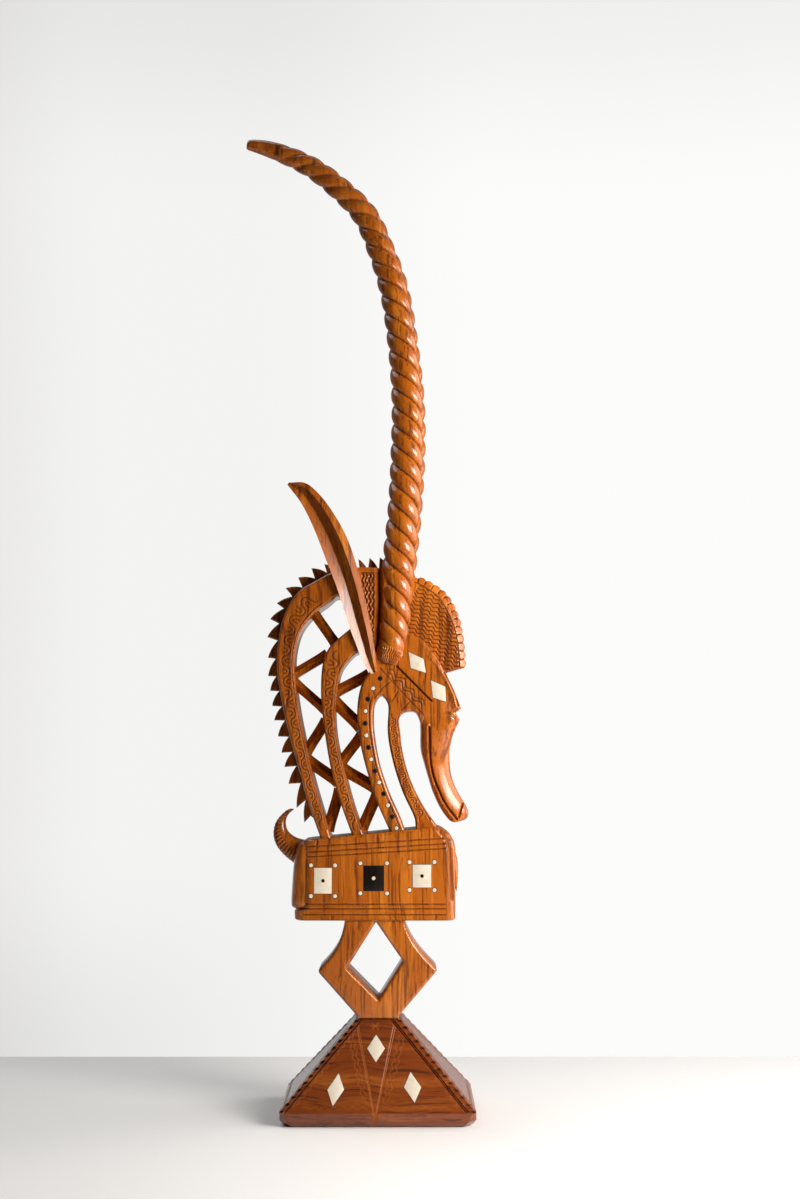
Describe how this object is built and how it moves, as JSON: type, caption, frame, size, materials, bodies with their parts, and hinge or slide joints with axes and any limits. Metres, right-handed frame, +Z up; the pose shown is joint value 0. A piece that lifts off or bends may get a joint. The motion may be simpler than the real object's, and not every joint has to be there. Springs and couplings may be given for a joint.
{
  "type": "chiwara headdress",
  "caption": "Carved rosewood-like antelope chiwara with long twisted horns, pierced mane and bone and ebony inlays, on a pyramid plinth.",
  "frame": {"origin": "middle of the plinth's underside", "axes": "+X the way the animal looks, +Y away from its near side, +Z up"},
  "size_m": [0.2152, 0.128, 0.9269],
  "materials": {
    "figure_wood": "gloss",
    "plinth_wood": "gloss",
    "bone": "satin",
    "ebony": "gloss"
  },
  "bodies": {
    "root": {"far_brow_diamond": "bone", "far_front_tile": "bone", "far_front_tile_peg": "ebony", "far_middle_tile": "ebony", "far_middle_tile_peg": "bone", "far_rear_tile": "bone", "far_rear_tile_peg": "ebony", "far_temple_diamond": "bone", "figure": "figure_wood", "front_tile_corner_peg_a": "bone", "front_tile_corner_peg_b": "bone", "front_tile_corner_peg_c": "bone", "front_tile_corner_peg_d": "bone", "middle_tile_corner_peg_a": "bone", "middle_tile_corner_peg_b": "bone", "middle_tile_corner_peg_c": "bone", "middle_tile_corner_peg_d": "bone", "near_brow_diamond": "bone", "near_front_tile": "bone", "near_front_tile_peg": "ebony", "near_middle_tile": "ebony", "near_middle_tile_peg": "bone", "near_rear_tile": "bone", "near_rear_tile_peg": "ebony", "near_temple_diamond": "bone", "plinth": "plinth_wood", "plinth_diamond_left": "bone", "plinth_diamond_right": "bone", "plinth_diamond_top": "bone", "rear_tile_corner_peg_a": "bone", "rear_tile_corner_peg_b": "bone", "rear_tile_corner_peg_c": "bone", "rear_tile_corner_peg_d": "bone", "rib_peg_01": "ebony", "rib_peg_02": "bone", "rib_peg_03": "ebony", "rib_peg_04": "bone", "rib_peg_05": "ebony", "rib_peg_06": "bone", "rib_peg_07": "ebony", "rib_peg_08": "bone", "rib_peg_09": "ebony", "rib_peg_10": "bone", "rib_peg_11": "ebony", "rib_peg_12": "bone", "rib_peg_13": "ebony", "rib_peg_14": "bone"}
  },
  "joints": []
}
